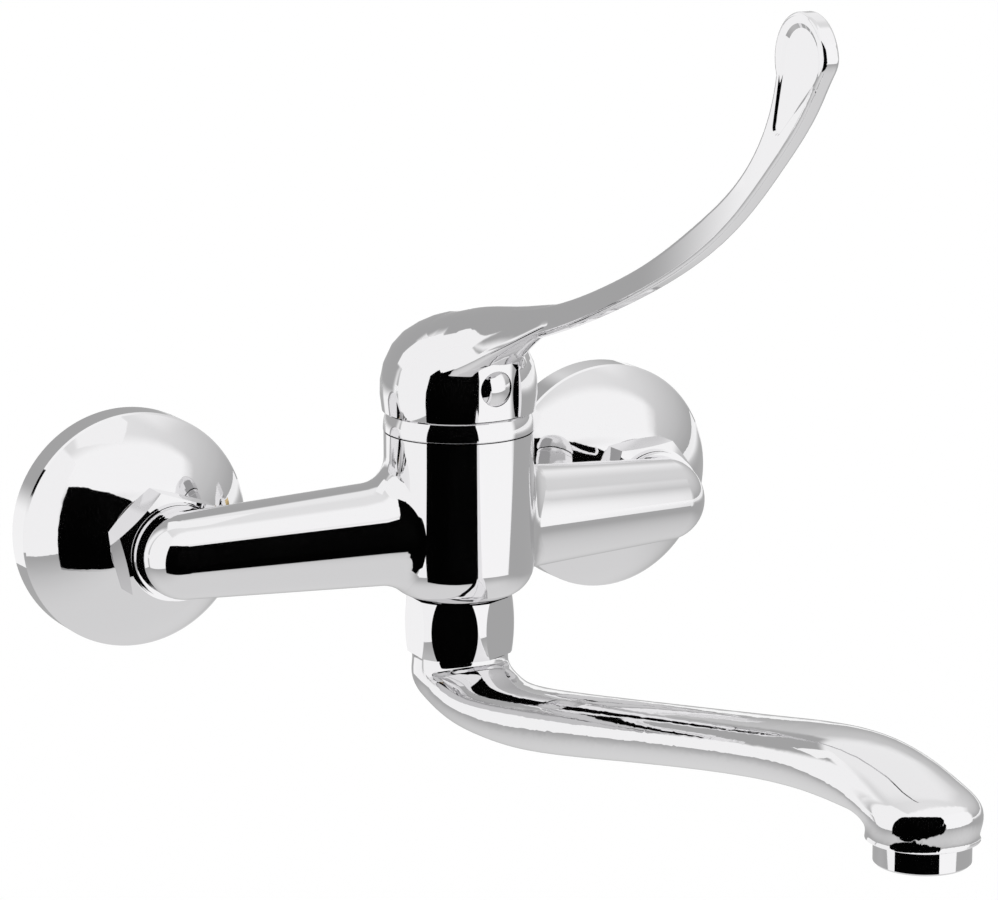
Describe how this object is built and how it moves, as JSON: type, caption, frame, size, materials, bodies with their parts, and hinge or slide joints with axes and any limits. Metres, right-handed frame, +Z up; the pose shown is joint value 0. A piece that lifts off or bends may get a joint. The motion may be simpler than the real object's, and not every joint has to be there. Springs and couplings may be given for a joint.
{
  "type": "wall mixer tap",
  "caption": "Wall-mounted single-lever mixer tap with a long raised lever, swivelling cast spout and two wall unions under round covers.",
  "frame": {"origin": "on the wall plane, midway between the two inlet union axes", "axes": "+X along the wall, +Y into the wall, so the spout points along -Y, and +Z up"},
  "size_m": [0.217, 0.3301, 0.2151],
  "materials": {
    "polished_chrome": "polished chrome plate on brass",
    "bare_brass": "machined",
    "seal_rubber": "matt",
    "stainless_steel": "satin",
    "disc_ceramic": "lapped ceramic",
    "cartridge_plastic": "moulded"
  },
  "bodies": {
    "fixed_body": {"mixer_body": "polished_chrome", "inlet_nipple_left": "bare_brass", "inlet_nipple_right": "bare_brass", "union_nut_left": "polished_chrome", "union_nut_right": "polished_chrome", "union_washer_left": "seal_rubber", "union_washer_right": "seal_rubber", "inlet_strainer_left": "stainless_steel", "inlet_strainer_right": "stainless_steel", "s_union_left": "bare_brass", "s_union_right": "bare_brass", "escutcheon_left": "polished_chrome", "escutcheon_right": "polished_chrome", "cartridge_nut": "bare_brass", "cover_ring": "polished_chrome", "cartridge_housing": "cartridge_plastic", "cartridge_base": "cartridge_plastic", "cartridge_seals": "seal_rubber", "fixed_disc": "disc_ceramic", "spout_nut": "polished_chrome", "spout_glide_washer": "cartridge_plastic"},
    "carrier": {"cartridge_carrier": "cartridge_plastic", "stem_pin": "stainless_steel"},
    "lever": {"cartridge_stem": "stainless_steel", "lever_handle": "polished_chrome", "lever_set_screw": "stainless_steel", "lever_plug": "polished_chrome"},
    "mixing_disc": {"moving_disc": "disc_ceramic", "disc_coupler": "cartridge_plastic"},
    "spout": {"spout": "polished_chrome", "spout_o_rings": "seal_rubber", "spout_retaining_ring": "cartridge_plastic", "aerator_housing": "polished_chrome", "aerator_insert": "cartridge_plastic", "aerator_washer": "seal_rubber"}
  },
  "joints": [
    {"name": "temperature_turn", "type": "hinge", "parent": "fixed_body", "child": "carrier", "pos_m": [0, -0.0618, 0.03], "axis": [0, 0, 1], "range_deg": [-50, 50]},
    {"name": "lever_tilt", "type": "hinge", "parent": "carrier", "child": "lever", "pos_m": [0, -0.0618, 0.028], "axis": [-1, 0, 0], "range_deg": [0, 25]},
    {"name": "disc_slide", "type": "slide", "parent": "carrier", "child": "mixing_disc", "axis": [0, -1, 0], "range_m": [0, 0.002]},
    {"name": "spout_swivel", "type": "hinge", "parent": "fixed_body", "child": "spout", "pos_m": [0, -0.0618, -0.03], "axis": [0, 0, 1], "range_deg": [-95, 95]}
  ],
  "couplings": [
    {"joint": "disc_slide", "follows": "lever_tilt", "m_per_rad": 0.00447}
  ]
}
